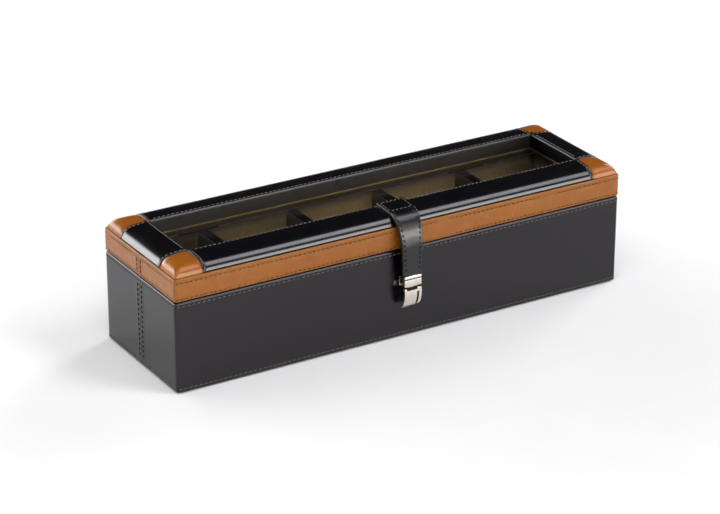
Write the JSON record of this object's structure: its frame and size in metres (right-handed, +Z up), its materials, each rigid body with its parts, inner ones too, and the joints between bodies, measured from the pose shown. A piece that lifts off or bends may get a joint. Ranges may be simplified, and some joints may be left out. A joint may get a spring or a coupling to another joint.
{
  "type": "watch display box",
  "caption": "Long leather-covered display box for watches: glazed lid hinged at the back, divided suede compartments with loose cushions, and a strap with a metal clasp at the front.",
  "frame": {"origin": "on the underside, at the middle of the box's footprint, so the strap and clasp stand out beyond it at the front", "axes": "+X along the length, the strap and clasp face -Y, the lid's hinges are at +Y, +Z up"},
  "size_m": [0.34, 0.1113, 0.0893],
  "materials": {
    "board": "raw fibreboard",
    "black_leather": "semi-gloss, smooth grain",
    "strap_leather": "gloss, smooth grain",
    "tan_leather": "semi-gloss, fine grain",
    "underside_cloth": "short nap",
    "suede": "suede nap",
    "cushion_suede": "suede nap",
    "glass": "clear polished",
    "gilt": "satin",
    "nickel": "polished nickel plate",
    "hinge_steel": "satin nickel plate"
  },
  "bodies": {
    "base": {"base_board_back": "board", "base_board_floor": "board", "base_board_front": "board", "base_board_left": "board", "base_board_right": "board", "base_underside": "underside_cloth", "base_wrap_back": "black_leather", "base_wrap_front": "black_leather", "catch_pins": "nickel", "catch_plate": "nickel", "catch_stud": "nickel", "divider_1": "suede", "divider_2": "suede", "divider_3": "suede", "divider_4": "suede", "divider_cap_1": "black_leather", "divider_cap_2": "black_leather", "divider_cap_3": "black_leather", "divider_cap_4": "black_leather", "hinge_base_left": "hinge_steel", "hinge_base_right": "hinge_steel", "hinge_pin_left": "hinge_steel", "hinge_pin_right": "hinge_steel", "hinge_screws_base": "hinge_steel", "lining_floor": "suede", "lining_walls": "suede"},
    "lid": {"glass_bead": "gilt", "glass_pane": "glass", "hinge_lid_left": "hinge_steel", "hinge_lid_right": "hinge_steel", "hinge_screws_lid": "hinge_steel", "lid_band_back": "tan_leather", "lid_band_front": "tan_leather", "lid_bar_back": "black_leather", "lid_bar_front": "black_leather", "lid_bar_left": "black_leather", "lid_bar_right": "black_leather", "lid_corner_back_left": "tan_leather", "lid_corner_back_right": "tan_leather", "lid_corner_front_left": "tan_leather", "lid_corner_front_right": "tan_leather", "lid_lining": "suede", "lid_rail_back": "board", "lid_rail_front": "board", "lid_rail_left": "board", "lid_rail_right": "board", "strap_patch": "strap_leather", "window_liner": "black_leather"},
    "strap": {"strap": "strap_leather", "clasp_sleeve": "nickel", "clasp_spring": "nickel", "clasp_pin": "nickel"},
    "lever": {"clasp_lever": "nickel"},
    "cushion_1": {"cushion_1": "cushion_suede"},
    "cushion_2": {"cushion_2": "cushion_suede"},
    "cushion_3": {"cushion_3": "cushion_suede"},
    "cushion_4": {"cushion_4": "cushion_suede"},
    "cushion_5": {"cushion_5": "cushion_suede"}
  },
  "joints": [
    {"name": "lid_hinge", "type": "hinge", "parent": "base", "child": "lid", "pos_m": [0, 0.05035, 0.0632], "axis": [-1, 0, 0], "range_deg": [0, 95]},
    {"name": "strap_swing", "type": "hinge", "parent": "lid", "child": "strap", "pos_m": [0, -0.0435, 0.0882], "axis": [-1, 0, 0], "range_deg": [0, 105]},
    {"name": "clasp_swing", "type": "hinge", "parent": "strap", "child": "lever", "pos_m": [0, -0.05605, 0.0374], "axis": [-1, 0, 0], "range_deg": [0, 75]},
    {"name": "cushion_lift_1", "type": "slide", "parent": "base", "child": "cushion_1", "axis": [0, 0, 1], "range_m": [0, 0.025]},
    {"name": "cushion_lift_2", "type": "slide", "parent": "base", "child": "cushion_2", "axis": [0, 0, 1], "range_m": [0, 0.025]},
    {"name": "cushion_lift_3", "type": "slide", "parent": "base", "child": "cushion_3", "axis": [0, 0, 1], "range_m": [0, 0.025]},
    {"name": "cushion_lift_4", "type": "slide", "parent": "base", "child": "cushion_4", "axis": [0, 0, 1], "range_m": [0, 0.025]},
    {"name": "cushion_lift_5", "type": "slide", "parent": "base", "child": "cushion_5", "axis": [0, 0, 1], "range_m": [0, 0.025]}
  ]
}
